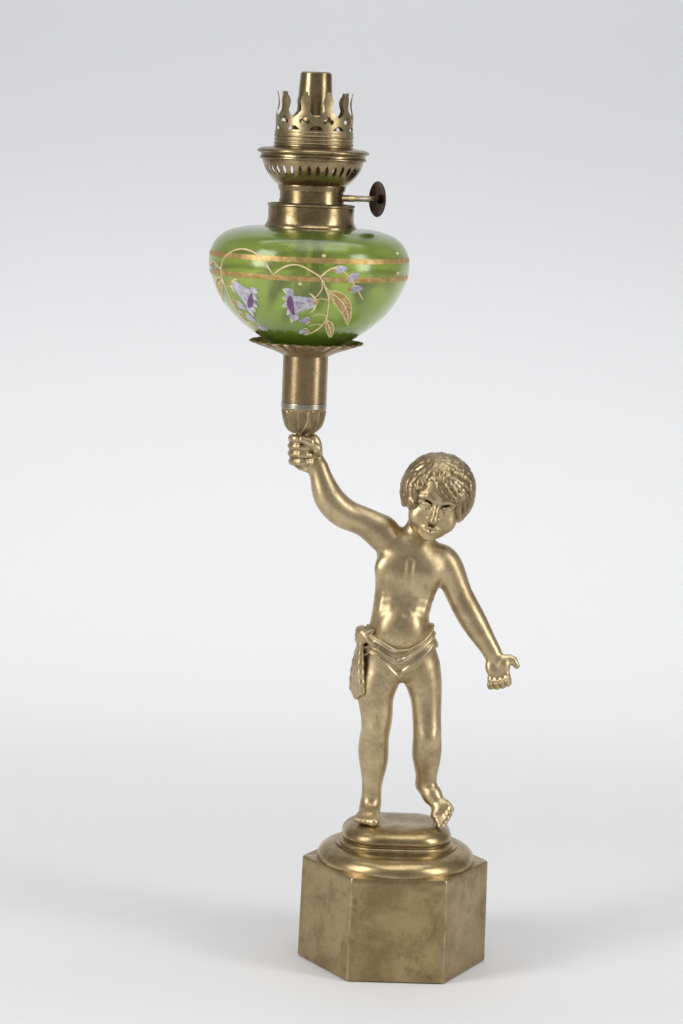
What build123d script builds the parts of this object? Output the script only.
"""Figural oil lamp: a cast figure on a six-sided plinth holds up a torch with a glass font.

Row frame: +Z up, origin at the middle of the plinth's foot, a flat of the plinth faces -Y.
The torch, font and burner share one upright axis at x = torch_x. All sizes in millimetres.
"""

import os
from math import cos, hypot, radians, sin

from build123d import *

os.makedirs("parts", exist_ok=True)

# ---------------------------------------------------------------- clearances
fit_gap = 0.02  # between pieces that are soldered, pressed or screwed together
running_gap = 0.05  # radial play of a shaft, a screw thread or a peg that moves
soft_gap = 0.3  # round the wick

# ---------------------------------------------------------------- plinth and mound
torch_x = -64.5
plinth_flats = 96.0
plinth_flare = 0.75
plinth_height = 61.2
plinth_wall = 1.8
moulding_radius = 46.8
moulding_height = 10.0
moulding_wall = 2.0
moulding_band = 1.2
moulding_top_radius = 36.1
moulding_step = 0.5
mound_height = 13.3
mound_half_width = 32.3
mound_half_depth = 28.3
mound_corner = 23.0
mound_roll = 13.5
mound_bead = 1.0
mound_bead_height = 2.8
mound_wall = 5.0
boss_radius = 7.0
rod_radius = 3.0
rod_depth = 7.5
washer_radius = 14.0
washer_thickness = 2.0
nut_flats = 10.0
nut_height = 5.0
rod_tail = 3.0
foot_screw_radius = 1.8
foot_screw_head = 3.4
foot_screw_bite = 4.0

# ---------------------------------------------------------------- torch
hand_rise = 230.0
cup_height = 14.2
cup_radius = 12.9
cup_foot_radius = 7.2
handle_radius = 4.2
handle_length = 18.0
ring_height = 3.5
ring_radius = 13.25
tube_radius = 13.1
tube_length = 27.1
tube_floor = 2.0
peg_radius = 12.05
bolt_radius = 3.0
bolt_head_radius = 5.5
bolt_head_height = 3.6
bolt_length = 24.0
dish_radius = 33.6
dish_rise = 8.7
dish_hub = 1.7
dish_wall = 1.1
dish_petals = 26

# ---------------------------------------------------------------- font
glass_wall = 3.0
glass_peg_radius = 10.9
glass_peg_length = 19.0
peg_floor = 1.2
peg_flange_radius = 14.5
peg_flange = 1.0
font_foot_radius = 12.5
font_outline = [(26.6, 7.7), (46.1, 23.6), (56.0, 39.6), (58.7, 52.9), (53.9, 63.9), (39.7, 70.4)]
font_shoulder_radius = 26.0
font_shoulder = 71.6
neck_radius = 20.5
neck_wall = 3.5
neck_height = 7.4
collar_flare_radius = 26.4
collar_radius = 24.7
collar_height = 13.3
collar_wall = 0.9
collar_recess = 0.9
collar_sleeve_wall = 0.9
collar_sleeve_length = 8.0

# ---------------------------------------------------------------- burner
thread_radius = 15.85
thread_wall = 1.1
thread_length = 8.0
seal_thickness = 1.4
seal_radius = 18.4
flange_radius = 18.8
flange_thickness = 0.8
sheet = 0.5
drum_radius = 18.4
drum_height = 9.0
basket_foot_height = 2.7
basket_foot_radius = 19.6
basket_outline = [(19.9, 0.0), (22.5, 2.2), (25.2, 5.4), (27.6, 9.5), (29.2, 14.6), (29.3, 16.2)]
basket_slots = 34
basket_slot_width = 2.4
basket_slot_height = 6.1
basket_slot_middle = 8.4
cutter_reach = 36.0
rim_outline = [
    (30.2, 16.0), (30.3, 17.4), (31.7, 18.0), (32.24, 19.0), (31.3, 20.0), (27.0, 21.0), (22.8, 22.1),
]
seat_radius = 18.6
crown_band_radius = 22.45
crown_radius = 22.2
crown_band_height = 8.0
crown_groove = 4.4
crown_outline = [(22.2, 8.0), (22.25, 14.0), (22.1, 17.7), (21.1, 21.7), (21.1, 25.7), (21.9, 30.1)]
crown_prongs = 10
crown_turn = 2.4
gap_half = [
    (0, 15.7), (2.6, 17.2), (4.5, 19.9), (3.9, 22.5), (3.4, 24.8), (4.2, 27.4), (5.2, 28.2),
    (5.4, 29.4), (6.0, 32.0),
]
club_rise = 14.0
club_spread = 1.9
club_radius = 1.35
crescent_rise = 8.7
crescent_half_width = 4.1
crescent_height = 2.5
wick_tube_radius = 11.1
wick_tube_straight = 37.8
wick_tube_collar_radius = 10.2
wick_tube_collar = 52.2
wick_tube_tip_radius = 8.92
wick_tube_tip = 73.0
wick_tube_tail = 7.0
air_tube_radius = 6.3
air_tube_wall = 0.4
air_tube_foot = 15.0
mouth_width = 7.0
mouth_height = 12.0
mouth_rise = 23.0
mouth_reach = 8.4
wheel_window = 12.6
wick_slot = 8.4
wick_strip_width = 10.4
wick_proud = 0.8
wick_thickness = 1.5
wick_tail = 4.0
wick_strip_length = 56.0
wick_down_travel = 6.0

# ---------------------------------------------------------------- wick raiser
spindle_turn = 25.0
spindle_height = 2.7
spindle_radius = 1.2
spindle_stem_radius = 1.72
spindle_inner_end = 13.2
sleeve_radius = 1.95
sleeve_start = 8.0
sleeve_end = 21.5
bearing_cup_radius = 2.2
cup_outer_end = 17.0
cup_inner_end = 10.8
spur_tip_radius = 2.4
spur_root_radius = 1.8
spur_teeth = 12
spur_width = 0.8
spur_pitch = 2.2
spur_count = 4
knob_distance = 38.2
knob_radius = 10.3
knob_sheet = 0.9
knob_dish = 1.6
knob_boss_radius = 2.6

# ---------------------------------------------------------------- heights worked out from the sizes above
mound_foot = plinth_height + moulding_height
mound_top = mound_foot + mound_height
cup_foot = mound_top + hand_rise
ring_foot = cup_foot + cup_height
tube_foot = ring_foot + ring_height
tube_top = tube_foot + tube_length
dish_top = tube_top + dish_hub
font_foot = dish_top + peg_flange
neck_foot = font_foot + font_shoulder
collar_top = neck_foot + collar_height
seal_foot = collar_top - collar_recess
flange_foot = seal_foot + seal_thickness
drum_foot = flange_foot + flange_thickness
drum_top = drum_foot + drum_height
basket_foot = drum_top + sheet
rim_top = basket_foot + rim_outline[-1][1]
crown_foot = rim_top + sheet
wick_tube_top = drum_foot + wick_tube_tip
spindle_z = drum_foot + spindle_height

torch_axis = Axis((torch_x, 0, 0), (0, 0, 1))
upward = (Align.CENTER, Align.CENTER, Align.MIN)
torch_plane = Plane(origin=(torch_x, 0, 0), x_dir=(1, 0, 0), z_dir=(0, -1, 0))
tube_bore = peg_radius + running_gap
wick_radius = wick_tube_tip_radius - sheet - soft_gap
wick_bore = wick_radius - wick_thickness
spindle_offset = wick_radius + soft_gap + spur_tip_radius


def written(piece, label):
    """Names a finished piece and writes its file."""
    piece.part.label = label
    export_step(piece.part, f"parts/{label}.step")


def face_of(points):
    """Closed face in the upright half plane of the torch axis, from (radius, height) corners."""
    with BuildSketch(torch_plane) as outline:
        with BuildLine():
            Polyline(*points, close=True)
        make_face()
    return outline.sketch


def inset(points, distance):
    """The same line of points moved sideways by a distance, to the left of its direction."""
    moved = []
    for i, (r, z) in enumerate(points):
        before = points[max(i - 1, 0)]
        after = points[min(i + 1, len(points) - 1)]
        dr, dz = after[0] - before[0], after[1] - before[1]
        length = hypot(dr, dz)
        moved.append((r - dz / length * distance, z + dr / length * distance))
    return moved


def sheet_of(points, wall, base):
    """Face of a curved sheet in the same half plane: a smooth line and its inset, from height base."""
    outer = [(r, z + base) for r, z in points]
    inner = inset(outer, wall)
    with BuildSketch(torch_plane) as outline:
        with BuildLine():
            front = Spline(*outer)
            back = Spline(*inner)
            Line(front @ 0, back @ 0)
            Line(front @ 1, back @ 1)
        make_face()
    return outline.sketch


def limb_of(stations, first_run=None):
    """Smooth limb through round sections, each (x, y, z, radius), square to the limb's run."""
    places = [Vector(x, y, z) for x, y, z, _ in stations]
    with BuildPart() as limb:
        for i, (x, y, z, radius) in enumerate(stations):
            run = places[min(i + 1, len(places) - 1)] - places[max(i - 1, 0)]
            if i == 0 and first_run:
                run = Vector(*first_run)
            with BuildSketch(Plane(origin=(x, y, z), x_dir=run.cross(Vector(0, 1, 0)), z_dir=run)):
                Circle(radius)
        loft()
    return limb.part


def egg_of(place, run, radius, half_length):
    """Round body like an egg: a bow turned about its long axis, which lies along run."""
    along = Vector(*run).normalized()
    side = along.cross(Vector(0.1, 1, 0.2)).normalized()
    slant = cos(radians(45))
    with BuildPart() as egg:
        with BuildSketch(Plane(origin=place, x_dir=side, z_dir=side.cross(along))):
            with BuildLine():
                bow = Spline(
                    (0, -half_length),
                    (slant * radius, -slant * half_length),
                    (radius, 0),
                    (slant * radius, slant * half_length),
                    (0, half_length),
                    tangents=[(1, 0), (-1, 0)],
                )
                Line(bow @ 1, bow @ 0)
            make_face()
        revolve(axis=Axis(place, along))
    return egg.part


def ball_of(place, radius):
    """Ball at a place."""
    with BuildPart() as ball:
        with Locations(place):
            Sphere(radius)
    return ball.part


def fused(first, *others):
    """Several touching solids joined in one step."""
    return first.fuse(*others)


# ================================================================ plinth
with BuildPart() as plinth_shell:
    with BuildSketch(Plane.XY):
        RegularPolygon(plinth_flats / 2 + plinth_flare, 6, major_radius=False)
    with BuildSketch(Plane.XY.offset(plinth_height)):
        RegularPolygon(plinth_flats / 2, 6, major_radius=False)
    loft(ruled=True)
    with BuildSketch(Plane.XY):
        RegularPolygon(plinth_flats / 2 + plinth_flare - plinth_wall, 6, major_radius=False)
    with BuildSketch(Plane.XY.offset(plinth_height - plinth_wall)):
        RegularPolygon(plinth_flats / 2 - plinth_wall, 6, major_radius=False)
    loft(ruled=True, mode=Mode.SUBTRACT)
    with Locations((0, 0, plinth_height - plinth_wall)):
        Cylinder(rod_radius + fit_gap, plinth_wall, align=upward, mode=Mode.SUBTRACT)
    chamfer(plinth_shell.faces().sort_by(Axis.Z)[-1].outer_wire().edges(), 0.4)
written(plinth_shell, "plinth_shell")

with BuildPart() as plinth_moulding:
    with BuildSketch(Plane.XZ):
        with BuildLine():
            foot = plinth_height
            band_top = foot + moulding_band
            top = foot + moulding_height
            shoulder = (moulding_top_radius + moulding_step, top - 2 * moulding_step)
            ovolo = EllipticalCenterArc(
                (shoulder[0], band_top), moulding_radius - shoulder[0], shoulder[1] - band_top, 0, arc_size=90
            )
            Polyline(
                ovolo @ 1,
                (moulding_top_radius + moulding_step, top - moulding_step),
                (moulding_top_radius, top - moulding_step),
                (moulding_top_radius, top),
                (rod_radius + fit_gap, top),
                (rod_radius + fit_gap, top - moulding_wall),
                (moulding_top_radius - moulding_wall, top - moulding_wall),
            )
            inside = EllipticalCenterArc(
                (moulding_top_radius - moulding_wall, foot),
                moulding_radius - moulding_top_radius,
                moulding_height - moulding_wall,
                0,
                arc_size=90,
            )
            Polyline(inside @ 0, (moulding_radius, foot), (moulding_radius, band_top))
        make_face()
    revolve(axis=Axis.Z)
written(plinth_moulding, "plinth_moulding")

mound_groove_top = mound_foot + mound_bead_height + 0.8
mound_wide = mound_groove_top + 2.0
mound_rise = mound_top - mound_wide
with BuildPart() as mound:
    with BuildSketch(Plane.XY.offset(mound_foot)):
        RectangleRounded(
            2 * (mound_half_width + mound_bead), 2 * (mound_half_depth + mound_bead), mound_corner + mound_bead
        )
    extrude(amount=mound_bead_height)
    fillet(mound.edges().group_by(Axis.Z)[-1], 1.2)
    with BuildSketch(Plane.XY.offset(mound_foot + mound_bead_height)):
        RectangleRounded(
            2 * (mound_half_width - 1.5), 2 * (mound_half_depth - 1.5), mound_corner - 1.5
        )
    extrude(amount=mound_groove_top - mound_foot - mound_bead_height)
    for height, draw_in in [(mound_groove_top, 1.2)] + [
        (mound_wide + mound_rise * sin(radians(18 * k)), mound_roll * (1 - cos(radians(18 * k))))
        for k in range(6)
    ]:
        with BuildSketch(Plane.XY.offset(height)):
            RectangleRounded(
                2 * (mound_half_width - draw_in), 2 * (mound_half_depth - draw_in), mound_corner - draw_in
            )
    loft()
    with BuildSketch(Plane.XY.offset(mound_foot)):
        RectangleRounded(
            2 * (mound_half_width - mound_wall), 2 * (mound_half_depth - mound_wall), mound_corner - mound_wall
        )
        Circle(boss_radius, mode=Mode.SUBTRACT)
    extrude(amount=mound_height - mound_wall, mode=Mode.SUBTRACT)
    with Locations((0, 0, mound_foot)):
        Cylinder(
            rod_radius + fit_gap, rod_depth, align=upward, mode=Mode.SUBTRACT
        )

washer_top = plinth_height - plinth_wall
washer_foot = washer_top - washer_thickness
nut_foot = washer_foot - nut_height
with BuildPart() as fixing_rod:
    with Locations((0, 0, nut_foot - rod_tail)):
        Cylinder(rod_radius, mound_foot + rod_depth - nut_foot + rod_tail, align=upward)
    chamfer(fixing_rod.edges().filter_by(GeomType.CIRCLE), 0.4)
written(fixing_rod, "fixing_rod")

with BuildPart() as fixing_washer:
    with BuildSketch(Plane.XY.offset(washer_foot)):
        Circle(washer_radius)
        Circle(rod_radius + fit_gap, mode=Mode.SUBTRACT)
    extrude(amount=washer_thickness)
written(fixing_washer, "fixing_washer")

with BuildPart() as fixing_nut:
    with BuildSketch(Plane.XY.offset(nut_foot)):
        RegularPolygon(nut_flats / 2, 6, major_radius=False)
        Circle(rod_radius + fit_gap, mode=Mode.SUBTRACT)
    extrude(amount=nut_height)
written(fixing_nut, "fixing_nut")

# ================================================================ figure
# Half widths and half depths of the body at heights above the mound; x is the middle of the section.
torso_sections = [
    (84.0, -1.8, 20.0, 11.0),
    (93.5, -2.4, 23.4, 14.4),
    (105.5, -2.8, 21.3, 14.8),
    (115.5, -3.3, 18.4, 14.2),
    (122.0, -3.5, 17.1, 13.6),
    (133.5, -1.8, 17.5, 13.4),
    (146.5, 0.6, 20.0, 13.8),
    (159.5, 1.5, 21.3, 12.4),
    (169.0, 1.5, 17.5, 9.6),
    (175.5, 5.0, 9.5, 7.6),
]
with BuildPart() as figure_torso:
    for rise, middle, half_width, half_depth in torso_sections:
        with BuildSketch(Plane(origin=(middle, 0, mound_top + rise))):
            Ellipse(half_width, half_depth)
    loft()

hip = mound_top + torso_sections[0][0]
down = (0, 0, -1)
left_leg_run = limb_of(
    [
        (-13.0, 0, hip, 10.6),
        (-15.9, 0, mound_top + 74.0, 9.5),
        (-14.7, -1.0, mound_top + 62.0, 8.4),
        (-14.9, -1.5, mound_top + 55.0, 7.8),
        (-15.7, -0.5, mound_top + 46.0, 8.1),
        (-15.4, 0.5, mound_top + 38.0, 7.9),
        (-15.1, 1.5, mound_top + 28.5, 6.3),
        (-15.5, 2.0, mound_top + 20.0, 5.1),
        (-15.8, 2.5, mound_top + 9.0, 5.7),
        (-15.8, 3.5, mound_top + 3.0, 5.2),
    ],
    down,
)
right_leg_run = limb_of(
    [
        (9.6, 0, hip, 10.4),
        (13.9, -1.0, mound_top + 74.0, 8.6),
        (15.0, -3.0, mound_top + 62.0, 7.5),
        (15.4, -4.5, mound_top + 51.0, 7.6),
        (15.8, -3.5, mound_top + 43.5, 7.8),
        (16.1, -1.0, mound_top + 35.5, 6.9),
        (16.6, 1.0, mound_top + 27.0, 5.8),
        (17.0, 2.0, mound_top + 22.0, 6.4),
    ],
    down,
)
left_heel = (-15.5, 8.0, mound_top + 4.6)
left_ball = (-18.5, -9.0, mound_top + 3.4)
right_heel = (14.6, 3.5, mound_top + 24.5)
right_ball = (24.5, -9.0, mound_top + 4.4)


def foot_of(heel, ball, heel_radius, ball_half_width):
    """Foot from heel to ball as a smooth limb, with five toes fanned across its end."""
    run = Vector(*ball) - Vector(*heel)
    forward = run.normalized()
    middle = Vector(*heel) + run * 0.5
    sole = limb_of(
        [
            (heel[0], heel[1], heel[2], heel_radius),
            (middle.X, middle.Y, middle.Z + 2.0, heel_radius + 0.6),
            (ball[0], ball[1], ball[2], ball_half_width * 0.62),
        ]
    )
    across = forward.cross(Vector(0, 0, 1)).normalized()
    toes = []
    for i in range(5):
        spread = (i - 2) / 2 * (ball_half_width - 1.3)
        root = Vector(*ball) + across * spread - forward * 1.5
        reach = forward * (3.4 - abs(i - 1.2) * 0.35)
        toes.append(egg_of(tuple(root + reach), tuple(forward), 1.9, 3.6))
    return [sole, egg_of(ball, tuple(across), ball_half_width * 0.6, ball_half_width)] + toes


left_foot = foot_of(left_heel, left_ball, 4.6, 6.6)
right_foot = foot_of(right_heel, right_ball, 4.4, 6.4)
screw_spots = [(-17.0, -3.5), (23.0, -8.0)]

with BuildPart() as left_leg:
    add(fused(left_leg_run, *left_foot) - mound.part, clean=False)
    with Locations((*screw_spots[0], mound_top)):
        Cylinder(foot_screw_radius + fit_gap, 2 * foot_screw_bite, mode=Mode.SUBTRACT)
written(left_leg, "left_leg")

with BuildPart() as right_leg:
    add(fused(right_leg_run, *right_foot) - mound.part, clean=False)
    with Locations((*screw_spots[1], mound_top)):
        Cylinder(foot_screw_radius + fit_gap, 2 * foot_screw_bite, mode=Mode.SUBTRACT)
written(right_leg, "right_leg")

handle_foot = cup_foot - handle_length
raised_arm_run = limb_of(
    [
        (-9.0, 0, mound_top + 167.0, 8.6),
        (-17.0, 0, mound_top + 173.0, 8.9),
        (-27.0, 0, mound_top + 178.6, 7.6),
        (-36.5, -0.5, mound_top + 182.2, 8.0),
        (-45.0, -1.0, mound_top + 188.6, 7.9),
        (-50.3, -0.5, mound_top + 196.6, 7.2),
        (torch_x + 10.6, 0, cup_foot - 28.0, 5.9),
        (torch_x + 8.2, 0, cup_foot - 22.0, 5.4),
        (torch_x + 5.6, 0, cup_foot - 14.0, 7.2),
        (torch_x + 4.6, 0, cup_foot - 7.0, 7.4),
        (torch_x + 4.0, 0, cup_foot - 1.0, 5.6),
    ]
)
finger_radius = 2.5
finger_ring = handle_radius + finger_radius - 0.4
finger_rise = 4.35
finger_from, finger_turn = -60.0, 215.0


def finger_round(height):
    """One finger curled round the torch's handle, at a height."""
    start = radians(finger_from)
    across = Plane((torch_x, 0, 0), x_dir=(cos(start), sin(start), 0), z_dir=(sin(start), -cos(start), 0))
    with BuildPart() as finger:
        with BuildSketch(across):
            with Locations((finger_ring, height)):
                Circle(finger_radius)
        revolve(axis=torch_axis, revolution_arc=-finger_turn)
    return finger.part


fingers = [finger_round(cup_foot - 3.2 - k * finger_rise) for k in range(4)]
thumb = [
    ball_of((torch_x + 3.0, -7.2, cup_foot - 3.6), 3.0),
    ball_of((torch_x - 0.6, -7.4, cup_foot - 2.4), 2.6),
]
with BuildPart() as raised_arm:
    add(fused(raised_arm_run - figure_torso.part, *thumb, *fingers), clean=False)
    with Locations((torch_x, 0, handle_foot)):
        Cylinder(
            handle_radius + fit_gap, 2 * handle_length, align=upward, mode=Mode.SUBTRACT
        )
    with Locations((torch_x, 0, cup_foot)):
        Cylinder(cup_radius, cup_height, align=upward, mode=Mode.SUBTRACT)
written(raised_arm, "raised_arm")

lowered_arm_run = limb_of(
    [
        (12.0, 0, mound_top + 162.0, 8.0),
        (20.5, 0, mound_top + 159.0, 9.0),
        (26.0, 0, mound_top + 149.0, 7.9),
        (31.0, -0.5, mound_top + 137.0, 7.0),
        (37.5, -2.0, mound_top + 126.0, 6.9),
        (43.5, -4.0, mound_top + 116.5, 6.4),
        (48.8, -6.0, mound_top + 109.0, 5.2),
        (52.4, -7.0, mound_top + 103.5, 4.7),
        (55.0, -8.6, mound_top + 98.0, 5.6),
        (56.4, -10.4, mound_top + 92.5, 5.4),
    ]
)
wrist = Vector(52.4, -7.0, mound_top + 103.5)
hand_down = Vector(0.3, -0.3, -0.9).normalized()
hand_side = Vector(0.9, -0.2, 0.25).normalized()
open_hand = []
for k in range(4):
    knuckle = wrist + hand_down * 10.0 + hand_side * (k - 1.5) * 3.1
    tip = knuckle + hand_down * (8.2 - abs(k - 1.3) * 0.7) + Vector(0, -2.6, 0)
    middle = (knuckle + tip) * 0.5 + Vector(0, 0.8, 0)
    open_hand.append(limb_of([(*knuckle, 1.8), (*middle, 1.9), (*tip, 1.5)]))
thumb_run = [(2.6, -0.6, -3.4, 2.6), (9.0, -2.0, -4.2, 2.2), (14.6, -3.6, -7.0, 1.6)]
open_hand.append(limb_of([(wrist.X + x, wrist.Y + y, wrist.Z + z, r) for x, y, z, r in thumb_run]))
with BuildPart() as lowered_arm:
    add(fused(lowered_arm_run - figure_torso.part, *open_hand), clean=False)
written(lowered_arm, "lowered_arm")

# The head leans to the raised arm's other side. Each section: height, middle towards the face,
# half width and half depth, all in the head's own directions; locks of hair ring the crown.
head_tilt = 12.0
head_centre = Vector(15.0, -3.5, mound_top + 196.0)
head_up = Vector(sin(radians(head_tilt)), -0.10, cos(radians(head_tilt))).normalized()
head_right = head_up.cross(Vector(0, 1, 0)).normalized() * -1
head_front = head_right.cross(head_up).normalized()
head_sections = [
    (-27.5, 7.0, 4.0, 3.6),
    (-23.5, 6.5, 9.0, 8.0),
    (-17.0, 3.0, 13.6, 13.0),
    (-8.0, 0.5, 18.6, 17.5),
    (1.0, -1.0, 21.0, 19.5),
    (10.0, -2.0, 20.2, 18.8),
    (18.0, -2.5, 15.6, 14.5),
    (23.0, -3.0, 7.5, 7.0),
]
hair_rows = [(-9.0, 8, 16.5), (3.0, 9, 18.6), (13.0, 7, 15.0)]
lock_radius = 4.4


def head_place(right, front, up):
    """Point of the head from its own right, front and up distances."""
    return tuple(head_centre + head_right * right + head_front * front + head_up * up)


locks = []
for level, count, spread in hair_rows:
    for i in range(count):
        turn = radians(50 + 260 * i / (count - 1))
        locks.append(ball_of(head_place(spread * sin(turn), spread * cos(turn) - 1.5, level), lock_radius))
neck = limb_of(
    [
        (5.5, 0, mound_top + torso_sections[-1][0], 7.3),
        (7.5, -0.5, mound_top + 180.0, 7.0),
        (12.0, -2.0, mound_top + 190.0, 7.5),
    ],
    (0, 0, 1),
)
with BuildPart() as skull:
    for level, front, half_width, half_depth in head_sections:
        with BuildSketch(Plane(origin=head_place(0, front, level), x_dir=head_right, z_dir=head_up)):
            Ellipse(half_width, half_depth)
    loft()
nose = ball_of(head_place(0, 17.4, -9.0), 2.6)
with BuildPart() as figure_head:
    add(fused(fused(skull.part, neck), nose, *locks) - figure_torso.part, clean=False)
written(figure_head, "figure_head")

cloth_foot = torso_sections[0][0] + 0.6
cloth_sections = [
    (cloth_foot, -1.8, 22.6, 14.0),
    (93.5, -2.4, 25.6, 16.6),
    (105.5, -2.8, 23.5, 17.0),
    (118.5, -3.3, 20.2, 16.1),
]
cloth_front = [
    (-40, 116.0), (-26, 118.0), (-14, 110.5), (0, 106.5), (10, 110.0), (17, 119.5), (40, 119.5),
    (40, 108.0), (22, 105.0), (12, 96.0), (1.5, 86.5), (-10, 96.0), (-20, 106.0), (-40, 98.0),
]
knot = ball_of((-24.8, -4.5, mound_top + 112.0), 5.4)
tail_folds = [
    limb_of(
        [
            (-25.0 - 0.3 * k, -6.0 + 2.4 * k, mound_top + 112.0, 1.8),
            (-28.2 - 0.2 * k, -7.2 + 3.4 * k, mound_top + 98.0, 2.3),
            (-28.4, -7.4 + 3.8 * k, mound_top + 84.0, 2.5),
            (-27.4, -6.8 + 3.6 * k, mound_top + 77.0 + 0.8 * k, 1.9),
        ]
    )
    for k in range(4)
]
with BuildPart() as cloth_band:
    for rise, middle, half_width, half_depth in cloth_sections:
        with BuildSketch(Plane(origin=(middle, 0, mound_top + rise))):
            Ellipse(half_width, half_depth)
    loft()
with BuildPart() as cloth_shape:
    with BuildSketch(Plane.XZ.offset(30)):
        with BuildLine():
            Polyline(*[(x, mound_top + z) for x, z in cloth_front], close=True)
        make_face()
    extrude(amount=-60)
cloth_cut = cloth_band.part & cloth_shape.part
with BuildPart() as loincloth:
    add(fused(cloth_cut - figure_torso.part, knot, *tail_folds) - figure_torso.part, clean=False)
written(loincloth, "loincloth")
written(figure_torso, "figure_torso")

with BuildPart() as foot_screws:
    for spot in screw_spots:
        with Locations((*spot, mound_top - mound_wall)):
            Cylinder(foot_screw_radius, mound_wall + foot_screw_bite, align=upward)
            Cylinder(foot_screw_head, foot_screw_radius, align=(Align.CENTER, Align.CENTER, Align.MAX))
written(foot_screws, "foot_screws")

with BuildPart() as mound_cast:
    add(mound.part)
    for spot in screw_spots:
        with Locations((*spot, mound_top)):
            Cylinder(foot_screw_radius + fit_gap, 2 * mound_wall + 1, mode=Mode.SUBTRACT)
written(mound_cast, "mound")

# ================================================================ torch
with BuildPart() as torch_cup:
    revolve(
        face_of(
            [
                (0, handle_foot),
                (handle_radius, handle_foot),
                (handle_radius, cup_foot),
                (cup_foot_radius, cup_foot),
                (9.6, cup_foot + 2.6),
                (12.0, cup_foot + 8.1),
                (cup_radius, cup_foot + cup_height),
                (0, cup_foot + cup_height),
            ]
        ),
        axis=torch_axis,
    )
    with Locations((torch_x, 0, ring_foot - bolt_length + tube_floor + ring_height)):
        Cylinder(bolt_radius + fit_gap, bolt_length, align=upward, mode=Mode.SUBTRACT)
written(torch_cup, "torch_cup")

with BuildPart() as torch_ring:
    revolve(
        face_of(
            [
                (bolt_radius + fit_gap, ring_foot),
                (ring_radius, ring_foot),
                (ring_radius, tube_foot),
                (bolt_radius + fit_gap, tube_foot),
            ]
        ),
        axis=torch_axis,
    )
    fillet(torch_ring.edges().filter_by(GeomType.CIRCLE).sort_by(SortBy.RADIUS)[-2:], 0.6)
written(torch_ring, "torch_ring")

with BuildPart() as torch_tube:
    revolve(
        face_of(
            [
                (bolt_radius + fit_gap, tube_foot),
                (tube_radius, tube_foot),
                (tube_radius, tube_top),
                (tube_bore, tube_top),
                (tube_bore, tube_foot + tube_floor),
                (bolt_radius + fit_gap, tube_foot + tube_floor),
            ]
        ),
        axis=torch_axis,
    )
written(torch_tube, "torch_tube")

bolt_head_foot = tube_foot + tube_floor
with BuildPart() as torch_bolt:
    with Locations((torch_x, 0, bolt_head_foot - bolt_length)):
        Cylinder(bolt_radius, bolt_length, align=upward)
    with Locations((torch_x, 0, bolt_head_foot)):
        Cylinder(bolt_head_radius, bolt_head_height, align=upward)
    with Locations((torch_x, 0, bolt_head_foot + bolt_head_height)):
        Box(2 * bolt_head_radius, 1.2, 2.4, mode=Mode.SUBTRACT)
written(torch_bolt, "torch_bolt")

dish_edge = (dish_radius - 0.6, dish_rise - dish_wall)
dish_line = [(tube_radius, 0), (18.0, 2.4), (24.0, 4.6), (29.5, 6.6), dish_edge]
with BuildPart() as drip_dish:
    with BuildSketch(torch_plane):
        with BuildLine():
            below = Spline(*[(r, z + tube_top) for r, z in dish_line])
            above = Spline(
                (dish_radius, dish_rise + tube_top), (24.0, 6.0 + tube_top), (peg_flange_radius + 0.8, dish_top)
            )
            Polyline(below @ 1, (dish_radius, dish_rise - 0.5 + tube_top), above @ 0)
            Polyline(above @ 1, (tube_bore, dish_top), (tube_bore, tube_top), below @ 0)
        make_face()
    revolve(axis=torch_axis)
    with Locations((torch_x, 0, tube_top)):
        with PolarLocations(dish_radius + 0.9, dish_petals):
            Cylinder(1.7, 2 * dish_rise + 6, mode=Mode.SUBTRACT)
written(drip_dish, "drip_dish")

# ================================================================ font
peg_foot = font_foot - glass_peg_length - peg_floor
with BuildPart() as font_peg:
    revolve(
        face_of(
            [
                (0, peg_foot),
                (peg_radius, peg_foot),
                (peg_radius, dish_top),
                (peg_flange_radius, dish_top),
                (peg_flange_radius, font_foot),
                (glass_peg_radius + fit_gap, font_foot),
                (glass_peg_radius + fit_gap, peg_foot + peg_floor),
                (0, peg_foot + peg_floor),
            ]
        ),
        axis=torch_axis,
    )
written(font_peg, "font_peg")

glass_points = [(font_foot_radius, 0), *font_outline, (font_shoulder_radius, font_shoulder)]
with BuildPart() as glass_font:
    with BuildSketch(torch_plane):
        with BuildLine():
            outside = Spline(*[(r, z + font_foot) for r, z in glass_points], tangents=[(1, 0.25), (-1, 0.02)])
            Polyline(
                outside @ 1,
                (neck_radius, neck_foot),
                (neck_radius, neck_foot + neck_height),
                (0, neck_foot + neck_height),
                (0, peg_foot + peg_floor),
                (glass_peg_radius, peg_foot + peg_floor),
                (glass_peg_radius, font_foot),
                outside @ 0,
            )
        make_face()
    revolve(axis=torch_axis)
    with BuildSketch(torch_plane):
        with BuildLine():
            cavity = inset([(r, z + font_foot) for r, z in glass_points[1:]], glass_wall)
            inside = Spline((0, font_foot + glass_wall), *cavity, tangents=[(1, 0), (-1, 0)])
            Polyline(
                inside @ 1,
                (neck_radius - neck_wall, neck_foot - glass_wall),
                (neck_radius - neck_wall, neck_foot + neck_height),
                (0, neck_foot + neck_height),
                inside @ 0,
            )
        make_face()
    revolve(axis=torch_axis, mode=Mode.SUBTRACT)
written(glass_font, "glass_font")

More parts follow.
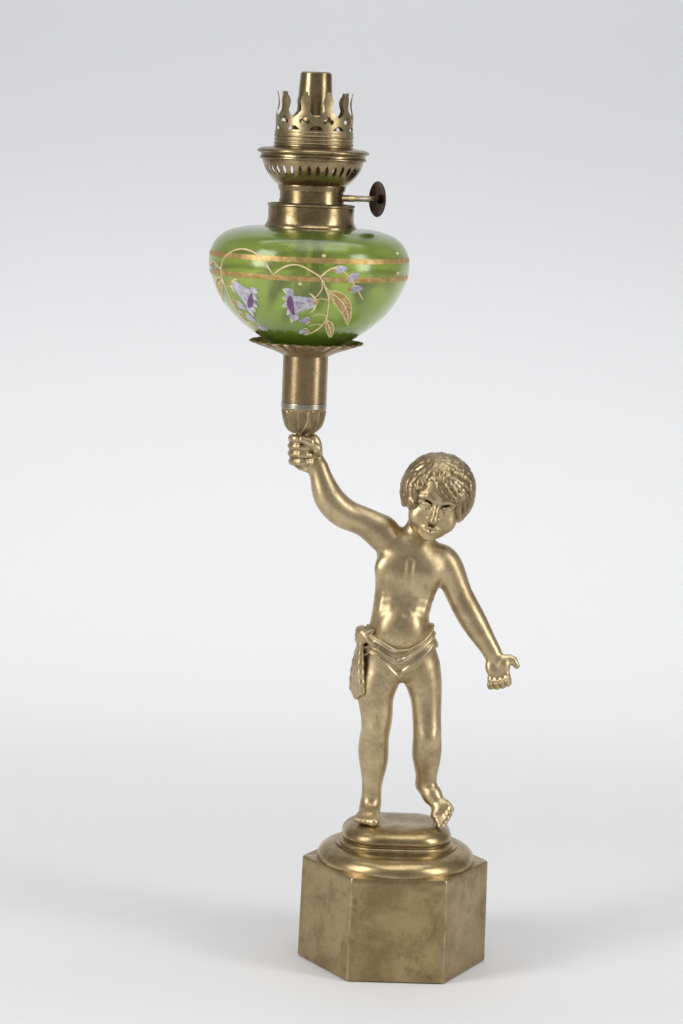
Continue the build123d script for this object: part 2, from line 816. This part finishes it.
sleeve_bore = thread_radius + running_gap
skirt_radius = collar_radius - collar_wall
with BuildPart() as font_collar:
    with BuildSketch(torch_plane):
        with BuildLine():
            flare = Spline(
                (collar_flare_radius, neck_foot + 0.6),
                (collar_radius + 0.4, neck_foot + 3.0),
                (collar_radius, neck_foot + 7.0),
                (collar_radius + 0.1, collar_top - 2.6),
            )
            lip = ThreePointArc(
                (collar_radius + 0.1, collar_top - 1.6),
                (collar_radius + 0.6, collar_top - 0.8),
                (collar_radius + 0.1, collar_top),
            )
            Line(flare @ 1, lip @ 0)
            Polyline(
                lip @ 1,
                (skirt_radius - 0.2, collar_top),
                (skirt_radius - 0.2, seal_foot),
                (sleeve_bore, seal_foot),
                (sleeve_bore, seal_foot - collar_sleeve_length),
                (sleeve_bore + collar_sleeve_wall, seal_foot - collar_sleeve_length),
                (sleeve_bore + collar_sleeve_wall, seal_foot - collar_wall),
                (skirt_radius, seal_foot - collar_wall),
                (skirt_radius, neck_foot + 3.4),
                (collar_flare_radius - collar_wall, neck_foot),
                (collar_flare_radius, neck_foot),
                flare @ 0,
            )
        make_face()
    revolve(axis=torch_axis)
written(font_collar, "font_collar")

cement_top = seal_foot - collar_wall
neck_top = neck_foot + neck_height
with BuildPart() as collar_cement:
    revolve(
        face_of(
            [
                (neck_radius + fit_gap, neck_foot + 3.4),
                (skirt_radius - fit_gap, neck_foot + 3.4),
                (skirt_radius - fit_gap, cement_top),
                (sleeve_bore + collar_sleeve_wall + fit_gap, cement_top),
                (sleeve_bore + collar_sleeve_wall + fit_gap, neck_top),
                (neck_radius + fit_gap, neck_top),
            ]
        ),
        axis=torch_axis,
    )
written(collar_cement, "collar_cement")

# ================================================================ burner
with BuildPart() as burner_seal:
    revolve(
        face_of(
            [
                (sleeve_bore + 0.3, seal_foot),
                (seal_radius, seal_foot),
                (seal_radius, flange_foot),
                (sleeve_bore + 0.3, flange_foot),
            ]
        ),
        axis=torch_axis,
    )
written(burner_seal, "burner_seal")

tube_hole = wick_tube_radius + fit_gap
with BuildPart() as burner_base:
    revolve(
        face_of(
            [
                (thread_radius - thread_wall, flange_foot - thread_length),
                (thread_radius, flange_foot - thread_length),
                (thread_radius, flange_foot),
                (flange_radius, flange_foot),
                (flange_radius, drum_foot),
                (tube_hole, drum_foot),
                (tube_hole, flange_foot),
                (thread_radius - thread_wall, flange_foot),
            ]
        ),
        axis=torch_axis,
    )
written(burner_base, "burner_base")

# Spindle plane: local x along the spindle, away from the burner; local y up.
spindle_dir = Vector(cos(radians(spindle_turn)), sin(radians(spindle_turn)), 0)
spindle_side = Vector(sin(radians(spindle_turn)), -cos(radians(spindle_turn)), 0)
spindle_origin = Vector(torch_x, 0, spindle_z) + spindle_side * spindle_offset


def across_spindle(distance):
    """Plane square to the spindle, at a distance along it."""
    return Plane(origin=spindle_origin + spindle_dir * distance, x_dir=spindle_side, z_dir=spindle_dir)


with BuildPart() as burner_drum:
    revolve(
        face_of(
            [
                (drum_radius - sheet, drum_foot),
                (flange_radius, drum_foot),
                (flange_radius, drum_foot + 0.8),
                (drum_radius, drum_foot + 0.8),
                (drum_radius, drum_top),
                (drum_radius - sheet, drum_top),
            ]
        ),
        axis=torch_axis,
    )
    with BuildSketch(across_spindle(0)):
        Circle(sleeve_radius + fit_gap)
    extrude(amount=sleeve_end, mode=Mode.SUBTRACT)
written(burner_drum, "burner_drum")

# Radial plane for cutting tools made about the row's own Z: local x goes round, local y is up.
def cutter_plane(height):
    """Plane facing +X at the Z axis, its origin at a height."""
    return Plane(origin=(0, 0, height), x_dir=(0, 1, 0), z_dir=(1, 0, 0))


with BuildPart() as basket_slot:
    with BuildSketch(cutter_plane(basket_foot + basket_slot_middle)):
        with BuildLine():
            half = basket_slot_height / 2
            ThreePointArc((0, -half), (basket_slot_width / 2, 0), (0, half))
            ThreePointArc((0, half), (-basket_slot_width / 2, 0), (0, -half))
        make_face()
    extrude(amount=cutter_reach)

with BuildPart() as air_basket:
    revolve(sheet_of(basket_outline, sheet, basket_foot), axis=torch_axis)
    with Locations((torch_x, 0, 0)):
        with PolarLocations(0, basket_slots):
            add(basket_slot.part, mode=Mode.SUBTRACT)
    collar_foot = basket_foot - sheet - basket_foot_height
    revolve(
        face_of(
            [
                (drum_radius + fit_gap, collar_foot),
                (basket_foot_radius - 0.4, collar_foot),
                (basket_foot_radius, drum_top),
                (basket_foot_radius, basket_foot),
                (basket_outline[0][0], basket_foot + 0.3),
                (basket_outline[0][0] - 0.7, basket_foot + 0.3),
                (basket_outline[0][0] - 0.9, basket_foot),
                (tube_hole, basket_foot),
                (tube_hole, drum_top),
                (drum_radius + fit_gap, drum_top),
            ]
        ),
        axis=torch_axis,
    )
written(air_basket, "air_basket")

with BuildPart() as gallery_rim:
    with BuildSketch(torch_plane):
        with BuildLine():
            rim_outer = [(r, z + basket_foot) for r, z in rim_outline]
            top_line = Spline(*rim_outer)
            under_line = Spline(*inset(rim_outer, sheet))
            Line(top_line @ 0, under_line @ 0)
            Polyline(
                top_line @ 1,
                (crown_band_radius + 0.3, rim_top),
                (crown_band_radius + 0.3, crown_foot),
                (seat_radius, crown_foot),
                (seat_radius, crown_foot - sheet),
                under_line @ 1,
            )
        make_face()
    revolve(axis=torch_axis)
written(gallery_rim, "gallery_rim")

with BuildPart() as crown_gap:
    with BuildSketch(cutter_plane(crown_foot)):
        with BuildLine():
            edge = [(x, z) for x, z in gap_half]
            Polyline(*edge, *[(-x, z) for x, z in reversed(edge[1:])], close=True)
        make_face()
    extrude(amount=cutter_reach)

with BuildPart() as crown_club:
    with BuildSketch(cutter_plane(crown_foot + club_rise)):
        with Locations((-club_spread, -0.5), (club_spread, -0.5), (0, 1.1)):
            Circle(club_radius)
        Rectangle(2 * club_spread, club_radius)
    extrude(amount=cutter_reach)

with BuildPart() as crown_crescent:
    with BuildSketch(cutter_plane(crown_foot + crescent_rise)):
        with BuildLine():
            arch = ThreePointArc((-crescent_half_width, 0), (0, crescent_height), (crescent_half_width, 0))
            Line(arch @ 1, arch @ 0)
        make_face()
    extrude(amount=cutter_reach)

with BuildPart() as chimney_crown:
    with BuildSketch(torch_plane):
        with BuildLine():
            band_top = crown_foot + crown_band_height
            groove = crown_foot + crown_groove
            wall_outer = Spline(*[(r, z + crown_foot) for r, z in crown_outline])
            Polyline(
                wall_outer @ 0,
                (crown_band_radius, band_top),
                (crown_band_radius, groove + 0.6),
                (crown_radius, groove + 0.45),
                (crown_radius, groove + 0.15),
                (crown_band_radius, groove),
                (crown_band_radius, crown_foot),
                (crown_radius - sheet, crown_foot),
                (crown_radius - sheet, band_top),
            )
            wall_inner = Spline(
                (crown_radius - sheet, band_top), *inset([(r, z + crown_foot) for r, z in crown_outline], sheet)[1:]
            )
            Line(wall_inner @ 1, wall_outer @ 1)
        make_face()
    revolve(axis=torch_axis)
    half_pitch = 180 / crown_prongs
    with Locations((torch_x, 0, 0)):
        with PolarLocations(0, crown_prongs, start_angle=crown_turn + half_pitch):
            add(crown_gap.part, mode=Mode.SUBTRACT)
            add(crown_crescent.part, mode=Mode.SUBTRACT)
        with PolarLocations(0, crown_prongs, start_angle=crown_turn):
            add(crown_club.part, mode=Mode.SUBTRACT)
written(chimney_crown, "chimney_crown")

# ================================================================ wick tubes and wick
wheel_middle = Vector(torch_x, 0, spindle_z) + spindle_side * spindle_offset
duct_middle = Vector(torch_x, 0, drum_foot + mouth_rise) - spindle_side * mouth_reach
tube_line = [
    (wick_tube_radius, -wick_tube_tail),
    (wick_tube_radius, wick_tube_straight),
    (wick_tube_collar_radius, wick_tube_collar),
    (wick_tube_tip_radius, wick_tube_tip),
]
with BuildPart() as wick_tube_outer:
    outer = [(r, z + drum_foot) for r, z in tube_line]
    revolve(face_of(outer + [(r - sheet, z) for r, z in reversed(outer)]), axis=torch_axis)
    with Locations(Plane(origin=wheel_middle, x_dir=spindle_dir, z_dir=(0, 0, 1))):
        Box(wheel_window, 2 * spur_tip_radius, 2 * (spur_tip_radius + soft_gap), mode=Mode.SUBTRACT)
    with Locations(Plane(origin=duct_middle, x_dir=spindle_dir, z_dir=(0, 0, 1))):
        Box(mouth_width + 2 * fit_gap, 2 * mouth_reach - 6, mouth_height + 2 * fit_gap, mode=Mode.SUBTRACT)
written(wick_tube_outer, "wick_tube_outer")

air_tube_top = wick_tube_top - 0.6
air_tube_base = drum_foot + air_tube_foot
with BuildPart() as wick_tube_inner:
    with Locations((torch_x, 0, air_tube_base)):
        Cylinder(air_tube_radius, air_tube_top - air_tube_base, align=upward)
    with Locations(Plane(origin=duct_middle, x_dir=spindle_dir, z_dir=(0, 0, 1))):
        Box(mouth_width, 2 * mouth_reach, mouth_height)
    with Locations((torch_x, 0, drum_foot)):
        Cylinder(
            wick_tube_radius, air_tube_top - drum_foot, align=upward, mode=Mode.INTERSECT
        )
    with Locations((torch_x, 0, air_tube_base + air_tube_wall)):
        Cylinder(air_tube_radius - air_tube_wall, air_tube_top - air_tube_base, align=upward, mode=Mode.SUBTRACT)
    with Locations(Plane(origin=duct_middle, x_dir=spindle_dir, z_dir=(0, 0, 1))):
        Box(
            mouth_width - 2 * air_tube_wall,
            2 * mouth_reach,
            mouth_height - 2 * air_tube_wall,
            mode=Mode.SUBTRACT,
        )
written(wick_tube_inner, "wick_tube_inner")

wick_top = wick_tube_top + wick_proud
wick_foot = drum_foot - wick_tail
strip_foot = wick_foot - wick_strip_length
slot_top = duct_middle.Z + mouth_height / 2 + wick_down_travel + soft_gap
with BuildPart() as wick:
    with BuildSketch(Plane((torch_x, 0, wick_foot))):
        Circle(wick_radius)
        Circle(wick_bore, mode=Mode.SUBTRACT)
    extrude(amount=wick_top - wick_foot)
    with Locations(Plane(origin=(duct_middle.X, duct_middle.Y, wick_foot), x_dir=spindle_dir, z_dir=(0, 0, 1))):
        Box(wick_slot, 2 * mouth_reach, slot_top - wick_foot, align=upward, mode=Mode.SUBTRACT)
    with BuildSketch(Plane(origin=(torch_x, 0, strip_foot), x_dir=spindle_dir, z_dir=(0, 0, 1))):
        Circle(wick_radius)
        Circle(wick_bore, mode=Mode.SUBTRACT)
        Rectangle(4 * wick_radius, wick_strip_width, mode=Mode.INTERSECT)
    extrude(amount=wick_strip_length)
written(wick, "wick")

# ================================================================ wick raiser
with BuildPart() as spindle_sleeve:
    with BuildSketch(across_spindle(sleeve_start)):
        Circle(sleeve_radius)
        Circle(spindle_radius + running_gap, mode=Mode.SUBTRACT)
    extrude(amount=sleeve_end - sleeve_start)
written(spindle_sleeve, "spindle_sleeve")

with BuildPart() as bearing_cup:
    with BuildSketch(across_spindle(-cup_outer_end)):
        Circle(bearing_cup_radius)
    extrude(amount=cup_outer_end - cup_inner_end)
    with Locations((torch_x, 0, drum_foot)):
        Cylinder(drum_radius - sheet - fit_gap, drum_height, align=upward, mode=Mode.INTERSECT)
    with BuildSketch(across_spindle(-spindle_inner_end - soft_gap)):
        Circle(spindle_radius + running_gap)
    extrude(amount=spindle_inner_end, mode=Mode.SUBTRACT)
written(bearing_cup, "bearing_cup")

knob_foot = knob_distance - knob_dish
with BuildPart() as wick_spindle:
    with BuildSketch(across_spindle(-spindle_inner_end)):
        Circle(spindle_radius)
    extrude(amount=spindle_inner_end + knob_distance + knob_sheet + 0.4)
    with BuildSketch(across_spindle(sleeve_end + soft_gap)):
        Circle(spindle_stem_radius)
    extrude(amount=knob_foot - sleeve_end - soft_gap)
written(wick_spindle, "wick_spindle")

tooth = 180 / spur_teeth
with BuildPart() as spur_wheels:
    for k in range(spur_count):
        with BuildSketch(across_spindle((k - (spur_count - 1) / 2) * spur_pitch - spur_width / 2)):
            with BuildLine():
                star = []
                for i in range(2 * spur_teeth):
                    reach = spur_tip_radius if i % 2 == 0 else spur_root_radius
                    star.append((reach * cos(radians(tooth * i)), reach * sin(radians(tooth * i))))
                Polyline(*star, close=True)
            make_face()
            Circle(spindle_radius + fit_gap, mode=Mode.SUBTRACT)
    extrude(amount=spur_width)
written(spur_wheels, "spur_wheels")

# Half plane of the spindle's axis: local x is the radius, local y runs along the spindle.
with BuildPart() as wick_knob:
    with BuildSketch(Plane(origin=spindle_origin, x_dir=(0, 0, 1), z_dir=Vector(0, 0, 1).cross(spindle_dir))):
        with BuildLine():
            inner_face = ThreePointArc(
                (knob_boss_radius, knob_distance),
                (0.64 * knob_radius, knob_distance - 0.36 * knob_dish),
                (knob_radius - 0.3, knob_foot),
            )
            rim = ThreePointArc(
                inner_face @ 1, (knob_radius, knob_foot + 0.45), (knob_radius - 0.2, knob_foot + 0.9)
            )
            outer_face = ThreePointArc(
                rim @ 1,
                (0.66 * knob_radius, knob_distance + 0.24),
                (spindle_radius + fit_gap, knob_distance + knob_sheet),
            )
            Polyline(
                outer_face @ 1,
                (spindle_radius + fit_gap, knob_foot),
                (knob_boss_radius, knob_foot),
                inner_face @ 0,
            )
        make_face()
    revolve(axis=Axis(spindle_origin, spindle_dir))
written(wick_knob, "wick_knob")
